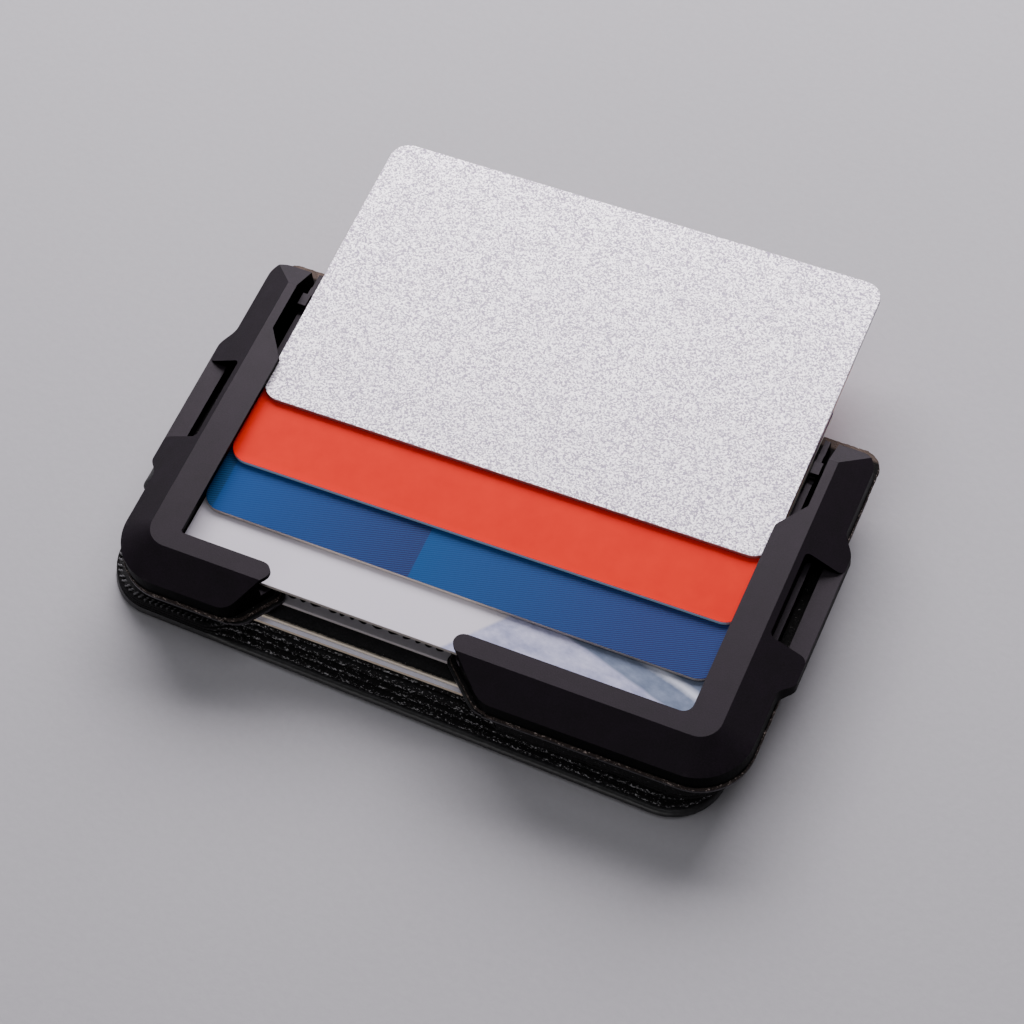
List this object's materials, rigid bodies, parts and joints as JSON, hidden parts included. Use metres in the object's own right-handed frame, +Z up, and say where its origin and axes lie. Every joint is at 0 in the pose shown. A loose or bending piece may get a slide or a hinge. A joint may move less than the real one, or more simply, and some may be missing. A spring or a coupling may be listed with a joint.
{
  "type": "minimalist wallet",
  "caption": "Bifold leather card wallet with a machined metal frame that holds fanned cards in a bay, a thumb gap in its near lip and strap windows in its sides.",
  "frame": {"origin": "centre of the outer face of the back cover, on the surface that the closed wallet lies on", "axes": "+X across the wallet along the cards' length, away from the spine; +Y along the cards' slides, away from the thumb gap; +Z up through the stack from the back cover to the frame"},
  "size_m": [0.11, 0.0931, 0.0156],
  "materials": {
    "black_anodised": "bead-blasted, matte black anodised",
    "plate_black": "satin black",
    "screw_steel": "dark zinc",
    "raw_edge_leather": "black face, brown fibrous raw edge",
    "black_leather": "matte, fine grain",
    "cover_leather": "smooth, soft sheen",
    "thread": "waxed thread",
    "silver_metal": "bead-blasted silver",
    "red_plastic": "satin printed card",
    "blue_plastic": "satin printed card, fine weave pattern",
    "white_plastic": "satin printed card",
    "grey_plastic": "satin printed card",
    "cream_plastic": "satin printed card",
    "pale_plastic": "satin printed card"
  },
  "bodies": {
    "chassis": {"chassis_frame": "black_anodised", "clamp_plate": "plate_black", "clamp_screws": "screw_steel", "mount_leather": "raw_edge_leather", "pocket_spacers": "black_leather", "pocket_partition": "black_leather", "upper_panel": "black_leather", "panel_stitching": "thread", "spine_front": "cover_leather"},
    "rear_leaf": {"spine_rear": "cover_leather", "back_cover": "cover_leather", "leaf_lining": "black_leather", "back_pocket": "black_leather", "front_pocket": "black_leather", "leaf_stitching": "thread"},
    "silver_card": {"silver_card": "silver_metal"},
    "red_card": {"red_card": "red_plastic"},
    "blue_card": {"blue_card": "blue_plastic"},
    "white_card": {"white_card": "white_plastic"},
    "grey_card": {"grey_card": "grey_plastic"},
    "pocket_card_upper": {"pocket_card_upper": "cream_plastic"},
    "pocket_card_lower": {"pocket_card_lower": "pale_plastic"}
  },
  "joints": [
    {"name": "bifold_hinge", "type": "hinge", "parent": "chassis", "child": "rear_leaf", "pos_m": [-0.056, 0, 0.0047], "axis": [0, 1, 0], "range_deg": [0, 180]},
    {"name": "silver_card_slide", "type": "slide", "parent": "chassis", "child": "silver_card", "axis": [0, 1, 0], "range_m": [-0.0312, 0.0167]},
    {"name": "red_card_slide", "type": "slide", "parent": "chassis", "child": "red_card", "axis": [0, 1, 0], "range_m": [-0.0194, 0.0285]},
    {"name": "blue_card_slide", "type": "slide", "parent": "chassis", "child": "blue_card", "axis": [0, 1, 0], "range_m": [-0.0103, 0.038]},
    {"name": "white_card_slide", "type": "slide", "parent": "chassis", "child": "white_card", "axis": [0, 1, 0], "range_m": [-0.0015, 0.0468]},
    {"name": "grey_card_slide", "type": "slide", "parent": "chassis", "child": "grey_card", "axis": [0, 1, 0], "range_m": [-0.00345, 0.0467]},
    {"name": "pocket_card_upper_slide", "type": "slide", "parent": "chassis", "child": "pocket_card_upper", "axis": [0, 1, 0], "range_m": [-0.0011, 0.0489]},
    {"name": "pocket_card_lower_slide", "type": "slide", "parent": "chassis", "child": "pocket_card_lower", "axis": [0, 1, 0], "range_m": [-0.0004, 0.0497]}
  ]
}
